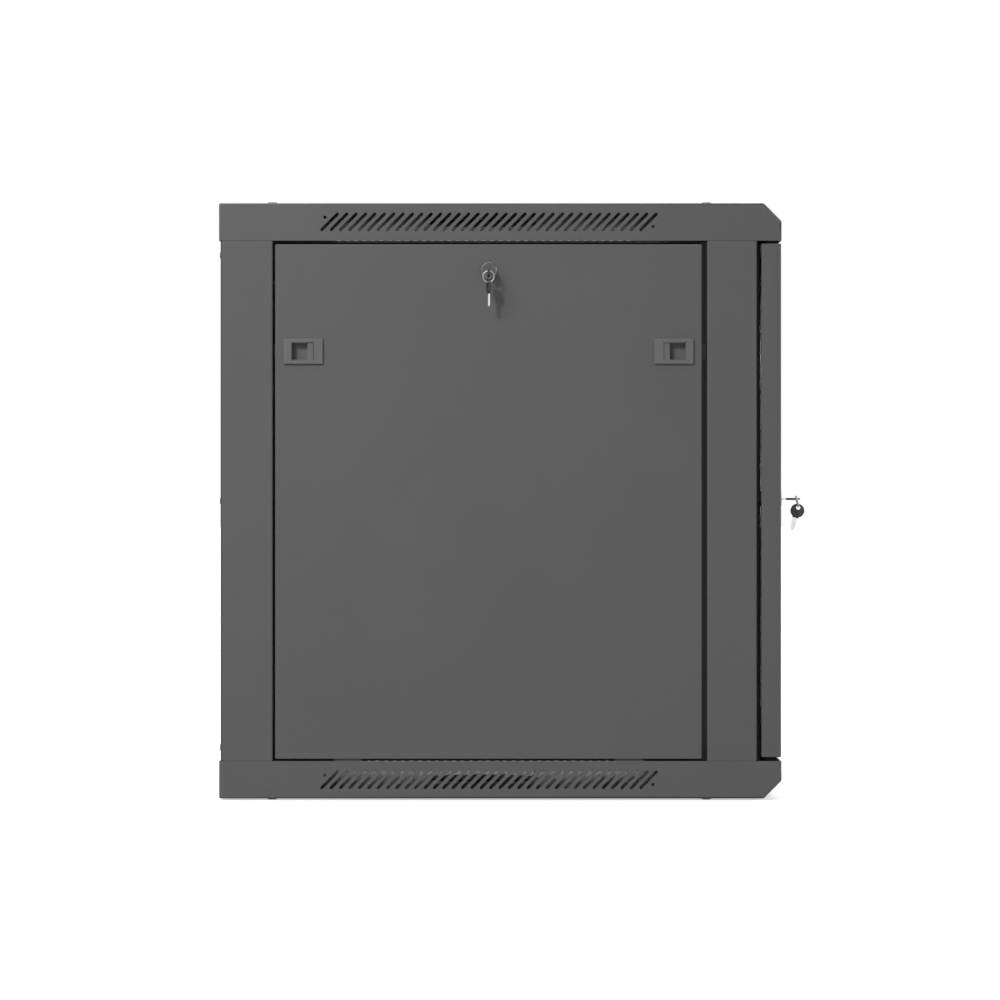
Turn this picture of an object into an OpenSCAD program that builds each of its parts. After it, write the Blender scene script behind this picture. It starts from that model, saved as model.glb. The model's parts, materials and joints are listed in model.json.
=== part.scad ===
// Wall-mount 19-inch network cabinet with a glazed front door and lift-off side panels.
// Frame: +Z up, front towards -Y, X = 0 on the centre plane, Z = 0 on the plane it rests on.
// Y = 0 is the middle of the whole outline, keys included.

/* [Cabinet] */
// Overall width of the covers
cab_w = 600; // [590:1:620]
// Overall depth of the covers
cab_d = 600; // [590:1:640]
// Height of the mounting space in rack units
rack_units = 12; // [11:1:14]
// Height taken by the two covers and the clearance above and below the mounting space
overhead_h = 101.6; // [100:0.1:104]
// Thickness of cover, panel and door sheet
sheet = 1.2; // [1:0.1:1.5]
// Thickness of post sheet
post_t = 1.5; // [1.5:0.1:2]
// Thickness of rails and brackets
rail_t = 2; // [1.5:0.1:2]

/* [Covers] */
// Height of the flange around each cover
cover_h = 40; // [38:1:44]
// Leg of the chamfer along the front edge
chamfer = 19; // [15:1:20]
// Number of slanted vents in each side flange
vent_count = 35; // [20:1:36]
// Distance from vent to vent
vent_pitch = 10; // [9:0.5:10]
// Height of a slanted vent
vent_h = 20; // [16:1:22]
// Width of a slanted vent
vent_w = 3.4; // [2.5:0.1:3.6]
// Distance of the middle of the vents behind the middle of the cover
vent_offset = 12; // [0:1:12]

/* [Side panels] */
// Gap between the side panel and the front post
panel_gap_front = 5.4; // [4:0.1:6]
// Gap between the side panel and the rear post
panel_gap_rear = 2.4; // [2:0.1:3]
// Depth of the folded edge of a side panel
panel_fold = 10; // [8:0.5:10]
// Distance of a latch from the near edge of the panel
latch_inset = 30; // [30:1:40]
// Height of the latches above the resting plane
latch_z = 478.8; // [300:1:520]

/* [Door] */
// Width of the steel border at each side of the glass
door_border = 70; // [68:1:80]
// Height of the steel border above and below the glass
door_rail_h = 52; // [45:1:70]
// Thickness of the glass
glass_t = 4; // [3:0.5:4]

/* [Keys] */
// Diameter of the moulded key head
key_head_d = 15; // [14:0.5:16]
// Thickness of the key head
key_head_t = 2.2; // [2:0.1:2.4]

/* [Hidden] */
$fn = 48;

// Colours
steel = "#5b5d60";
steel_light = "#6c6f72";
zinc = "#b4b8bb";
black = "#1c1c1e";
tint = "#8fa3a8";

// Standard rack measures
unit_h = 44.45;
hole_offsets = [6.35, 22.225, 38.1];
square_hole = 9.5;
rail_centres = 465.1;
rail_clear = 450;

// Fasteners: bolt, hole and head radii, head heights, nut flats and heights
m6_r = 3;
m6_hole_r = 3.3;
m6_head_r = 5;
m6_head_h = 3;
m6_nut = 10;
m6_nut_h = 5;
m4_r = 2;
m4_hole_r = 2.2;
m4_head_r = 3.5;
m4_head_h = 2;
m4_nut = 7;
m4_nut_h = 3.2;
thread_play = 0.02;
grip_len = 8;
cover_head_r = 5.3;
carriage_head_r = 6;
low_head_h = 1.5;

// Cabinet outline
head_h = 2;
cab_h = rack_units * unit_h + overhead_h;
half_w = cab_w / 2;
front = -cab_d / 2;
rear = cab_d / 2;
low = head_h;
high = head_h + cab_h;
mid_z = (low + high) / 2;
body_low = low + cover_h;
body_high = high - cover_h;
seam = 0.3;
key_reach = 26.4;
centre_shift = key_reach / 2;
past = 1;
bond = 0.5;

// Door
door_t = 21.1;
hinge_inset = 10;
door_front = front + 0.3;
door_back = door_front + door_t;
door_half = half_w - 1;
door_low = body_low + 4;
door_high = body_high - 3;
door_edge_r = 3;
door_lip = 13;
pane_half = door_half - door_border;
pane_low = door_low + door_rail_h;
pane_high = door_high - door_rail_h;
glass_lap = 11;
seal_t = 2;
glass_front = door_front + sheet + seal_t;
glass_back = glass_front + glass_t;
pin_x = half_w - hinge_inset;
pin_y = front + hinge_inset;
pin_r = 3;
pin_play = 0.05;
pin_collar_r = 5;
pin_below = 6;
pin_len = 20;
lock_x = -(half_w - 46);
lock_z = mid_z + 2;
clip_in = 8;
clip_out = 12;
clip_half = 9;
clip_t = 1.5;
clip_screw = 6;
clip_shift = 45;
clip_inset = 60;
clip_x = 130;

// Posts
front_post_y = door_back + 4.9;
front_post_end = front_post_y + 53.2;
rear_skin = rear - 1.7;
rear_post_end = rear_skin - sheet;
rear_post_y = rear_skin - 55.7;
post_face_w = 36;
post_return_w = 44;
post_lip = 18;
stop_x = half_w - 16;
stop_reach = 7;
tab_reach = 69;
post_inset = 3;
screw_x = half_w - 24;
front_screw_y = front_post_end;
rear_screw_y = rear_post_y + 1.4;
rear_screw_x = half_w - 18;
rear_screw_z = [door_low + 10, mid_z, door_high - 12];
strike_x = half_w - 25;
strike_screw_z = [lock_z - 20, lock_z + 20];
strike_half = 28;
keeper_half = 12;
keeper_reach = 4;
bracket_screw_x = [half_w - 30, half_w - 14];
bracket_screw_z = [body_high + 20, body_low - 20];
bracket_top = high - 6;

// Side panels
panel_front = front_post_end + panel_gap_front;
panel_rear = rear_post_y - panel_gap_rear;
panel_mid = (panel_front + panel_rear) / 2;
panel_low = body_low + 2.6;
panel_high = body_high - 3.8;
side_lock_z = body_high - 32;
hook_gap = 1.2;
hook_drop = 6;
hook_top = 15;
sleeve_gap = 0.2;
hook_w = 30;
hook_spread = 150;

// Latches
bezel_w = 42;
bezel_h = 27;
bezel_proud = 2.5;
bezel_skin = 1.2;
sleeve_w = 37.6;
sleeve_h = 22.6;
sleeve_back = 11.7;
window_w = 23.5;
window_h = 19;
window_off = 0.75;
pocket_w = 16.5;
pocket_h = 17.6;
pocket_off = 3.7;
pocket_deep = 9;
cup_wall = 1.2;
slide_play = 0.3;
tongue_t = 3;
tongue_h = 16;
tongue_end = 0.5;
stem_half = 6;
barb_half = 6;
barb_h = 1.2;
grip_w = 4.4;
window_slot_h = 20;

// Depth and mounting rails
web_x = half_w - 40;
web_fold = 15;
depth_rail_h = 40;
upper_rail_z = body_high - 19;
lower_rail_z = body_low + 19;
mount_face_y = front + 100;
rear_face_y = rear - 100;
mount_flange = 45;
mount_low = body_low + 2.5;
mount_high = body_high - 2.5;
units_low = mid_z - rack_units * unit_h / 2;
slot_len = 100;
cage_unit = 5;

// Wall fixing
wall_dx = 400;
wall_dz = 450;
wall_hole_r = 5;
wall_rail_h = 60;
rear_tuck = 8;

// Cable entries
entry_w = 240;
entry_d = 50;
entry_y = rear - 55;
entry_lap = 20;
stud_dx = 260;
stud_dy = 65;
stud_len = 10;

// Fan openings
fan_x = 95;
fan_y = 20;
fan_r = 55;
fan_holes = 105;
fan_rows = 4;
fan_row_pitch = 12;
fan_slot_w = 5;

// Locks and keys
rim_side = 2;
rim_door = 2.2;
rim_r = 9.3;
barrel_r = 8;
core_r = 5.5;
core_play = 0.05;
ring_r = 6;
keyway_w = 5.7;
keyway_t = 2.2;
blade_w = 5.5;
blade_t = 2;
blade_len = 22;
head_ahead = 12.7;
key_hole_r = 2.3;
key_hole_off = 3.4;
wire_t = 1.2;
wire_w = 2;
wire_drop = 1;
ring_reach = 5.4;
ring_tilt = 15;
spare_tilt = 17;
cam_w = 14;
cam_t = 2;
cam_gap = 0.1;
side_deep = 12;
side_cam = 42;
door_deep = 33.7;
door_cam = 40;
square_r = 3.4;
end_nut_r = 5;
end_nut_h = 2;
lock_nut = 22;
lock_nut_h = 3;
hole_play = 0.1;

// Where the key rings hang, and the lowest point of each ring's wire
side_hang = [-(half_w + rim_side + head_ahead + key_hole_off), panel_mid, side_lock_z - wire_drop];
side_hook = side_hang - [0, 0, 2 * ring_r];
spare_turn = 12;
ring_rise = sqrt(ring_r * ring_r - ring_reach * ring_reach);
door_hang = [lock_x, door_front - rim_door - head_ahead - key_hole_off, lock_z];
door_hook_drop = ring_rise + ring_r;
door_hook = door_hang
    + [-ring_reach, -door_hook_drop * sin(ring_tilt), -door_hook_drop * cos(ring_tilt)];

// ---------- helpers ----------

module shifted() translate([0, centre_shift, 0]) children();

module plate(from, to) translate(from) cube(to - from);

module right() mirror([1, 0, 0]) children();

module both_sides() {
    children();
    right() children();
}

// Mirror image about the middle height of the cabinet
module lower() translate([0, 0, 2 * mid_z]) mirror([0, 0, 1]) children();

// Cylinder from one end point along -X, +Y or +Z
module rod_x(from, len, r) translate(from) rotate([0, 90, 0]) cylinder(r = r, h = len);
module rod_y(from, len, r) translate(from) rotate([-90, 0, 0]) cylinder(r = r, h = len);
module rod_z(from, len, r) translate(from) cylinder(r = r, h = len);

// Hole along Y or +Z through the one sheet at a point
module hole_y(at, r) rod_y(at - [0, 5, 0], 10, r);
module hole_z(at, r) rod_z(at - [0, 0, 5], 10, r);

// Hexagon of width across flats, for nuts
module hex(flats, h) cylinder(r = flats / sqrt(3), h = h, $fn = 6);

function arc(cx, cy, r, a0, a1, steps) =
    [for (i = [0:steps]) let (a = a0 + (a1 - a0) * i / steps) [cx + r * cos(a), cy + r * sin(a)]];

// Slot with round ends from (-dx, -dy) to (dx, dy)
function slot_points(dx, dy, r) =
    let (a = atan2(dy, dx))
    concat(arc(dx, dy, r, a - 90, a + 90, 5), arc(-dx, -dy, r, a + 90, a + 270, 5));

// ---------- covers ----------

// Side view of a cover, drawn inset from the outline
module cover_outline(inset, drop) {
    corner = inset * (sqrt(2) - 1);
    polygon([
        [front + inset, body_high - drop],
        [front + inset, high - chamfer - corner],
        [front + chamfer + corner, high - inset],
        [rear - inset, high - inset],
        [rear - inset, body_high - drop]
    ]);
}

module cover_prism(inset, drop)
    translate([inset - half_w, 0, 0]) rotate([90, 0, 90])
    linear_extrude(cab_w - 2 * inset) cover_outline(inset, drop);

// Slanted vents, seen from outside with the array centred on the origin
module vent_field() {
    reach = vent_h / 2 - vent_w / 2;
    last = (vent_count - 1) / 2;
    for (i = [-last:last])
        translate([i * vent_pitch, 0]) polygon(slot_points(reach, reach, vent_w / 2));
    for (s = [-1, 1])
        translate([s * ((last + 1) * vent_pitch - vent_pitch / 2), -s * vent_pitch / 2])
        circle(r = vent_w / 2);
}

module fan_field() {
    for (i = [-fan_rows:fan_rows])
        let (y = i * fan_row_pitch, x = sqrt(fan_r * fan_r - y * y) - fan_slot_w / 2)
        translate([0, y]) polygon(slot_points(x, 0, fan_slot_w / 2));
    for (sx = [-1, 1], sy = [-1, 1])
        translate([sx, sy] * fan_holes / 2) circle(r = m4_hole_r);
}

// One pressing serves as top cover and, turned over, as bottom cover
module cover_pressing() {
    vent_z = high - cover_h / 2;
    difference() {
        cover_prism(0, 0);
        cover_prism(sheet, past);
        for (s = [-1, 1])
            translate([s * (half_w - sheet - past), vent_offset, vent_z])
            rotate([90, 0, s * 90]) linear_extrude(sheet + 2 * past) vent_field();
        translate([0, 0, high - sheet - past]) linear_extrude(sheet + 2 * past) {
            for (s = [-1, 1]) translate([s * fan_x, fan_y]) fan_field();
            translate([0, entry_y]) square([entry_w, entry_d], center = true);
            for (s = [-1, 1], y = [front_screw_y, rear_screw_y])
                translate([s * screw_x, y]) circle(r = m6_hole_r);
        }
    }
    for (sx = [-1, 1], sy = [-1, 1])
        rod_z([sx * stud_dx / 2, entry_y + sy * stud_dy / 2, high - sheet - stud_len],
            stud_len + bond, m4_r);
}

module turned_over() translate([0, 0, 2 * mid_z]) rotate([0, 180, 0]) children();

module top_cover() color(steel) shifted() cover_pressing();

module bottom_cover() color(steel) shifted() turned_over() cover_pressing();

module cover_screw() {
    rod_z([0, 0, 0], head_h, cover_head_r);
    rod_z([0, 0, -12], 12 + bond, m6_r - thread_play);
}

module cover_screws() color(zinc) shifted()
    for (s = [-1, 1], y = [front_screw_y, rear_screw_y]) {
        translate([s * screw_x, y, high]) cover_screw();
        translate([s * screw_x, y, low]) mirror([0, 0, 1]) cover_screw();
    }

module entry_plate(z0)
    translate([0, entry_y, z0]) linear_extrude(sheet) difference() {
        square([entry_w + 2 * entry_lap, entry_d + 1.5 * entry_lap], center = true);
        for (sx = [-1, 1], sy = [-1, 1])
            translate([sx * stud_dx / 2, sy * stud_dy / 2]) circle(r = m4_hole_r);
    }

module cable_plate_top() color(steel) shifted() entry_plate(high - 2 * sheet);

module cable_plate_bottom() color(steel) shifted() entry_plate(low + sheet);

module cable_plate_nuts() color(zinc) shifted()
    for (sx = [-1, 1], sy = [-1, 1], z = [high - 2 * sheet - m4_nut_h, low + 2 * sheet])
        translate([sx * stud_dx / 2, entry_y + sy * stud_dy / 2, z]) difference() {
            hex(m4_nut, m4_nut_h);
            translate([0, 0, -past])
                cylinder(r = m4_r + thread_play, h = m4_nut_h + 2 * past);
        }

// ---------- posts ----------

// Upper end of a left post: the face runs up inside the cover and folds over under it
module post_end(face_y, tab_from, tab_to, bolt_y) {
    outer = -(half_w - post_inset);
    inner = -(half_w - post_face_w);
    top = high - sheet;
    plate([outer, face_y, mid_z], [inner, face_y + post_t, top]);
    difference() {
        union() {
            plate([outer, tab_from, top - post_t], [inner, tab_to, top]);
            translate([-screw_x, bolt_y, top - post_t - m6_nut_h]) hex(m6_nut, m6_nut_h + bond);
        }
        rod_z([-screw_x, bolt_y, top - 10], 20, m6_r);
    }
}

// Walls of a left post between the covers: face, side wall, return and lip
module post_body(face_y, return_y, side_from, side_to, lip_from, lip_to) {
    z0 = body_low + seam;
    z1 = body_high - seam;
    x0 = -half_w;
    face_x = -(half_w - post_face_w);
    return_x = -(half_w - post_return_w);
    plate([x0, face_y, z0], [face_x, face_y + post_t, z1]);
    plate([x0, side_from, z0], [x0 + post_t, side_to, z1]);
    plate([x0, return_y, z0], [return_x, return_y + post_t, z1]);
    plate([return_x - post_t, lip_from, z0], [return_x, lip_to, z1]);
}

// Window in the return of a left post for the latch tongue
module tongue_window(return_y)
    plate([-(half_w - sleeve_back) - 1, return_y - past, latch_z - window_slot_h / 2],
        [-(half_w - sleeve_back) + tongue_t + 2, return_y + post_t + past, latch_z + window_slot_h / 2]);

// The stop behind the gap beside the side panel keeps light and dust out
module panel_stop()
    plate([-stop_x, front_post_end - bond, body_low + seam],
        [-stop_x + post_t, front_post_end + stop_reach, body_high - seam]);

module front_post() difference() {
    union() {
        panel_stop();
        post_body(front_post_y, front_post_end - post_t, front_post_y, front_post_end,
            front_post_end - post_lip, front_post_end);
        post_end(front_post_y, front_post_y, front_post_y + tab_reach, front_screw_y);
        lower() post_end(front_post_y, front_post_y, front_post_y + tab_reach, front_screw_y);
    }
    tongue_window(front_post_end - post_t);
    for (z = [upper_rail_z, lower_rail_z])
        hole_y([-(web_x + web_fold / 2), front_post_end, z], m6_r);
}

module rear_post() difference() {
    union() {
        post_body(rear_post_end - post_t, rear_post_y, rear_post_y, rear_post_end,
            rear_post_y, rear_post_y + post_lip);
        post_end(rear_post_end - post_t, rear_post_end - tab_reach, rear_post_end, rear_screw_y);
        lower() post_end(rear_post_end - post_t, rear_post_end - tab_reach, rear_post_end,
            rear_screw_y);
    }
    tongue_window(rear_post_y);
    for (z = [upper_rail_z, lower_rail_z])
        hole_y([-(web_x + web_fold / 2), rear_post_y, z], m6_r);
    for (z = rear_screw_z) hole_y([-rear_screw_x, rear_post_end, z], m4_r);
}

module front_post_left() color(steel) shifted() difference() {
    front_post();
    for (z = strike_screw_z) hole_y([-strike_x, front_post_y, z], m4_r);
}

module bracket_holes(r)
    for (x = bracket_screw_x, z = bracket_screw_z) hole_y([x, front_post_y, z], r);

module front_post_right() color(steel) shifted() difference() {
    right() front_post();
    bracket_holes(m4_r);
}

module rear_post_left() color(steel) shifted() rear_post();

module rear_post_right() color(steel) shifted() right() rear_post();

// ---------- rear ----------

module wall_holes()
    for (sx = [-1, 1], sz = [-1, 1])
        rod_y([sx * wall_dx / 2, rear_skin - 10, mid_z + sz * wall_dz / 2], 20, wall_hole_r);

// The panel's middle runs up and down behind the flanges of the covers
module rear_panel() color(steel) shifted() difference() {
    union() {
        plate([-(half_w - 0.5), rear_skin - sheet, body_low + 2],
            [half_w - 0.5, rear_skin, body_high - 2]);
        plate([-(half_w - post_inset), rear_skin - sheet, body_low - rear_tuck],
            [half_w - post_inset, rear_skin, body_high + rear_tuck]);
    }
    wall_holes();
    for (s = [-1, 1], z = rear_screw_z)
        hole_y([s * rear_screw_x, rear_skin, z], m4_hole_r);
}

// Channels welded inside the rear panel, which carry the cabinet on its wall bolts
module wall_rails() color(steel) shifted() difference() {
    half = half_w - post_face_w - 3;
    back = rear_skin - sheet;
    union() for (s = [-1, 1]) translate([0, 0, mid_z + s * wall_dz / 2]) {
        plate([-half, back - rail_t, -wall_rail_h / 2], [half, back, wall_rail_h / 2]);
        plate([-half, back - 15, wall_rail_h / 2 - rail_t], [half, back, wall_rail_h / 2]);
        plate([-half, back - 15, -wall_rail_h / 2], [half, back, rail_t - wall_rail_h / 2]);
    }
    wall_holes();
}

module rear_panel_screws() color(zinc) shifted()
    for (s = [-1, 1], z = rear_screw_z) {
        rod_y([s * rear_screw_x, rear_skin, z], low_head_h, m4_head_r);
        rod_y([s * rear_screw_x, rear_skin - grip_len, z], grip_len + bond, m4_r - thread_play);
    }

// ---------- rails ----------

// Left depth rail centred at height z: web, two folds and an end tab on each post
module depth_rail(z) translate([0, 0, z]) difference() {
    y0 = front_post_end;
    y1 = rear_post_y;
    out = -(web_x + web_fold);
    h = depth_rail_h / 2;
    union() {
        plate([-web_x - rail_t, y0, -h], [-web_x, y1, h]);
        for (s = [-1, 1])
            plate([out, y0, s > 0 ? h - rail_t : -h], [-web_x, y1, s > 0 ? h : rail_t - h]);
        plate([out, y0, -h], [-web_x, y0 + rail_t, h]);
        plate([out, y1 - rail_t, -h], [-web_x, y1, h]);
    }
    for (y = [mount_face_y + mount_flange / 2, rear_face_y - mount_flange / 2])
        translate([-web_x - 5, y, 0]) rotate([90, 0, 90])
        linear_extrude(10) polygon(slot_points(slot_len / 2 - m6_hole_r, 0, m6_hole_r));
    for (y = [y0, y1]) hole_y([-(web_x + web_fold / 2), y, 0], m6_r);
}

module depth_rail_upper_left() color(steel) shifted() depth_rail(upper_rail_z);

module depth_rail_upper_right() color(steel) shifted() right() depth_rail(upper_rail_z);

module depth_rail_lower_left() color(steel) shifted() depth_rail(lower_rail_z);

module depth_rail_lower_right() color(steel) shifted() right() depth_rail(lower_rail_z);

// Screws that hold the depth rails, driven from inside the rail into the posts
module depth_rail_screws() color(zinc) shifted() both_sides()
    for (z = [upper_rail_z, lower_rail_z]) {
        x = -(web_x + web_fold / 2);
        len = grip_len + rail_t + bond;
        rod_y([x, front_post_end + rail_t, z], m6_head_h, m6_head_r);
        rod_y([x, front_post_end - grip_len, z], len, m6_r - thread_play);
        rod_y([x, rear_post_y - rail_t - m6_head_h, z], m6_head_h, m6_head_r);
        rod_y([x, rear_post_y - rail_t - bond, z], len, m6_r - thread_play);
    }

// Left mounting rail with its face at Y = 0 and its flange towards +Y
module mounting_rail() {
    face_w = web_x - rail_clear / 2;
    h = mount_high - mount_low;
    hole_x = web_x - rail_centres / 2;
    translate([-web_x, rail_t, mount_low]) rotate([90, 0, 0]) linear_extrude(rail_t)
        difference() {
            square([face_w, h]);
            for (u = [0:rack_units - 1], o = hole_offsets)
                translate([hole_x, units_low + u * unit_h + o - mount_low])
                square(square_hole, center = true);
        }
    difference() {
        plate([-web_x, 0, mount_low], [-web_x + rail_t, mount_flange, mount_high]);
        for (z = [upper_rail_z, lower_rail_z])
            rod_x([-web_x - 5, mount_flange / 2, z], 10, m6_hole_r);
    }
}

module front_rail() translate([0, mount_face_y, 0]) mounting_rail();

module rear_rail() translate([0, rear_face_y, 0]) mirror([0, 1, 0]) mounting_rail();

module front_rail_left() color(steel_light) shifted() front_rail();

module front_rail_right() color(steel_light) shifted() right() front_rail();

module rear_rail_left() color(steel_light) shifted() rear_rail();

module rear_rail_right() color(steel_light) shifted() right() rear_rail();

// Carriage bolt and nut through a depth rail and a mounting rail, along +X from the head
module rail_bolt() {
    rod_x([-web_x - rail_t - m6_head_h, 0, 0], m6_head_h, carriage_head_r);
    rod_x([-web_x - rail_t - bond, 0, 0], 2 * rail_t + grip_len, m6_r - thread_play);
    translate([-web_x + rail_t, 0, 0]) rotate([0, 90, 0]) hex(m6_nut, m6_nut_h);
}

module rail_bolts() color(zinc) shifted() both_sides()
    for (y = [mount_face_y + mount_flange / 2, rear_face_y - mount_flange / 2],
            z = [upper_rail_z, lower_rail_z])
        translate([0, y, z]) rail_bolt();

// Cage nut in a square hole, its threaded bore along Y
module cage_nut() difference() {
    grip = square_hole - 0.2;
    union() {
        plate([-6, rail_t, -6], [6, rail_t + 6, 6]);
        plate([-grip / 2, -0.8, -grip / 2], [grip / 2, rail_t + past, grip / 2]);
        for (s = [-1, 1])
            plate([s * 4.7 - 1.3, -0.8, -3.5], [s * 4.7 + 1.3, 0, 3.5]);
    }
    rod_y([0, -5, 0], 20, m6_r - 0.5);
}

module cage_nuts() color(zinc) shifted()
    for (s = [-1, 1], o = [hole_offsets[0], hole_offsets[2]])
        translate([s * rail_centres / 2, mount_face_y, units_low + cage_unit * unit_h + o])
        cage_nut();

// ---------- hinges and strike ----------

// Angle on the right front post, with the hinge pin's hole in its flat leg
module hinge_bracket_up() difference() {
    x0 = half_w - post_face_w;
    x1 = half_w - post_inset;
    back = front_post_y;
    leg = body_high + 1;
    union() {
        plate([x0, back - rail_t, leg], [x1, back, bracket_top]);
        plate([pin_x - 10, pin_y - 7, leg], [x1, back, leg + rail_t]);
    }
    hole_z([pin_x, pin_y, leg], pin_r + pin_play);
    bracket_holes(m4_hole_r);
}

module hinge_bracket_upper() color(steel) shifted() hinge_bracket_up();

module hinge_bracket_lower() color(steel) shifted() lower() hinge_bracket_up();

module strike_plate() {
    back = front_post_y + post_t;
    x_out = -(half_w - 8);
    x_in = -(half_w - post_face_w);
    difference() {
        plate([x_out, back, lock_z - strike_half], [x_in, back + rail_t, lock_z + strike_half]);
        for (z = strike_screw_z) hole_y([-strike_x, back, z], m4_hole_r);
    }
    plate([x_in - rail_t, back, lock_z - keeper_half],
        [x_in, back + keeper_reach, lock_z + keeper_half]);
}

module door_strike() color(zinc) shifted() strike_plate();

module bracket_screws() color(zinc) shifted() {
    for (x = bracket_screw_x, z = bracket_screw_z) {
        rod_y([x, front_post_y - rail_t - m4_head_h, z], m4_head_h, m4_head_r);
        rod_y([x, front_post_y - rail_t - bond, z], grip_len + bond, m4_r - thread_play);
    }
    for (z = strike_screw_z) {
        rod_y([-strike_x, front_post_y - low_head_h, z], low_head_h, m4_head_r);
        rod_y([-strike_x, front_post_y - bond, z], grip_len, m4_r - thread_play);
    }
}

// ---------- side panels, drawn for the left side ----------

module side_panel() {
    x0 = -half_w;
    fold = x0 + panel_fold;
    latch_ys = [panel_front + latch_inset, panel_rear - latch_inset];
    hole_w = sleeve_w + 2 * sleeve_gap;
    hole_h = sleeve_h + 2 * sleeve_gap;
    difference() {
        plate([x0, panel_front, panel_low], [fold, panel_rear, panel_high]);
        plate([x0 + sheet, panel_front + sheet, panel_low + sheet],
            [fold + past, panel_rear - sheet, panel_high - sheet]);
        for (y = latch_ys)
            plate([x0 - past, y - hole_w / 2, latch_z - hole_h / 2],
                [x0 + sheet + past, y + hole_w / 2, latch_z + hole_h / 2]);
        rod_x([x0 - past, panel_mid, side_lock_z], sheet + 2 * past, barrel_r + hole_play);
    }
    // Hooks that stand behind the flange of the bottom cover
    for (s = [-1, 1]) translate([x0 + sheet, panel_mid + s * hook_spread, 0]) {
        plate([hook_gap, -hook_w / 2, body_low - hook_drop],
            [hook_gap + sheet, hook_w / 2, panel_low + hook_top]);
        plate([-bond, -hook_w / 2, panel_low + hook_drop],
            [hook_gap + bond, hook_w / 2, panel_low + hook_top]);
    }
}

module side_panel_left() color(steel) shifted() side_panel();

module side_panel_right() color(steel) shifted() right() side_panel();

// Latch parts sit at the origin of the panel's outer face, their outward end towards +Y
module at_rear_latch() translate([-half_w, panel_rear - latch_inset, latch_z]) children();

module at_front_latch()
    translate([-half_w, panel_front + latch_inset, latch_z]) mirror([0, 1, 0]) children();

module latch_bezel() difference() {
    inner_w = sleeve_w - 2 * cup_wall;
    inner_h = sleeve_h - 2 * cup_wall;
    union() {
        plate([-bezel_proud, -bezel_w / 2, -bezel_h / 2], [0, bezel_w / 2, bezel_h / 2]);
        plate([-past, -sleeve_w / 2, -sleeve_h / 2], [sleeve_back, sleeve_w / 2, sleeve_h / 2]);
        // Snap barbs behind the panel sheet
        for (s = [-1, 1])
            plate([sheet + 0.1, -barb_half, s > 0 ? sleeve_h / 2 - past : -sleeve_h / 2 - barb_h],
                [sheet + 3, barb_half, s > 0 ? sleeve_h / 2 + barb_h : past - sleeve_h / 2]);
    }
    plate([-bezel_proud + bezel_skin, -inner_w / 2, -inner_h / 2],
        [sleeve_back + past, inner_w / 2, inner_h / 2]);
    translate([0, window_off, 0])
        plate([-bezel_proud - past, -window_w / 2, -window_h / 2], [0, window_w / 2, window_h / 2]);
}

module latch_slider() {
    face = -bezel_proud + bezel_skin + slide_play;
    floor_x = face + pocket_deep;
    cup_h = pocket_h + 2 * cup_wall;
    window_out = window_off + window_w / 2;
    difference() {
        union() {
            plate([face, window_off - window_w / 2 + 0.2, -cup_h / 2],
                [face + cup_wall, window_out + grip_w, cup_h / 2]);
            plate([face, pocket_off - pocket_w / 2 - cup_wall, -cup_h / 2],
                [floor_x + cup_wall, pocket_off + pocket_w / 2 + cup_wall, cup_h / 2]);
        }
        plate([face - past, pocket_off - pocket_w / 2, -pocket_h / 2],
            [floor_x, pocket_off + pocket_w / 2, pocket_h / 2]);
    }
    // Stem and tongue behind the pocket
    plate([floor_x + 0.2, pocket_off - stem_half, -tongue_h / 2],
        [sleeve_back + slide_play + tongue_t, pocket_off + stem_half, tongue_h / 2]);
    plate([sleeve_back + slide_play, pocket_off - stem_half, -tongue_h / 2],
        [sleeve_back + slide_play + tongue_t, latch_inset + panel_gap_rear - tongue_end,
            tongue_h / 2]);
}

// The front latch has a longer tongue, because the gap to the front post is wider
module latch_slider_front() {
    latch_slider();
    plate([sleeve_back + slide_play, pocket_off - stem_half, -tongue_h / 2],
        [sleeve_back + slide_play + tongue_t, latch_inset + panel_gap_front - tongue_end,
            tongue_h / 2]);
}

module latch_bezels() {
    at_front_latch() latch_bezel();
    at_rear_latch() latch_bezel();
}

module latch_bezels_left() color(steel_light) shifted() latch_bezels();

module latch_bezels_right() color(steel_light) shifted() right() latch_bezels();

module latch_left_front() color(steel_light) shifted() at_front_latch() latch_slider_front();

module latch_left_rear() color(steel_light) shifted() at_rear_latch() latch_slider();

module latch_right_front() color(steel_light) shifted() right() at_front_latch()
    latch_slider_front();

module latch_right_rear() color(steel_light) shifted() right() at_rear_latch() latch_slider();

// ---------- cam locks and keys ----------
// A lock is drawn with its axis along +Z, its rim above Z = 0 and its barrel below.

module lock_body(rim, deep, nut_z) difference() {
    union() {
        rotate_extrude() polygon([
            [0, 0], [rim_r, 0], [rim_r, rim * 0.4], [rim_r - rim * 0.6, rim], [0, rim]
        ]);
        translate([0, 0, -deep]) cylinder(r = barrel_r, h = deep + rim / 2);
        translate([0, 0, nut_z - lock_nut_h]) hex(lock_nut, lock_nut_h);
    }
    translate([0, 0, -deep - past]) cylinder(r = core_r + core_play, h = deep + rim + 2 * past);
}

module lock_core(rim, deep) difference() {
    union() {
        translate([0, 0, -deep]) cylinder(r = core_r, h = deep + rim - 0.3);
        translate([0, 0, -deep - cam_gap - cam_t]) cylinder(r = square_r, h = cam_t + past);
        translate([0, 0, -deep - cam_gap - cam_t - end_nut_h])
            cylinder(r = end_nut_r, h = end_nut_h);
    }
    translate([-keyway_w / 2, -keyway_t / 2, rim - blade_len]) cube([keyway_w, keyway_t, blade_len]);
}

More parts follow.
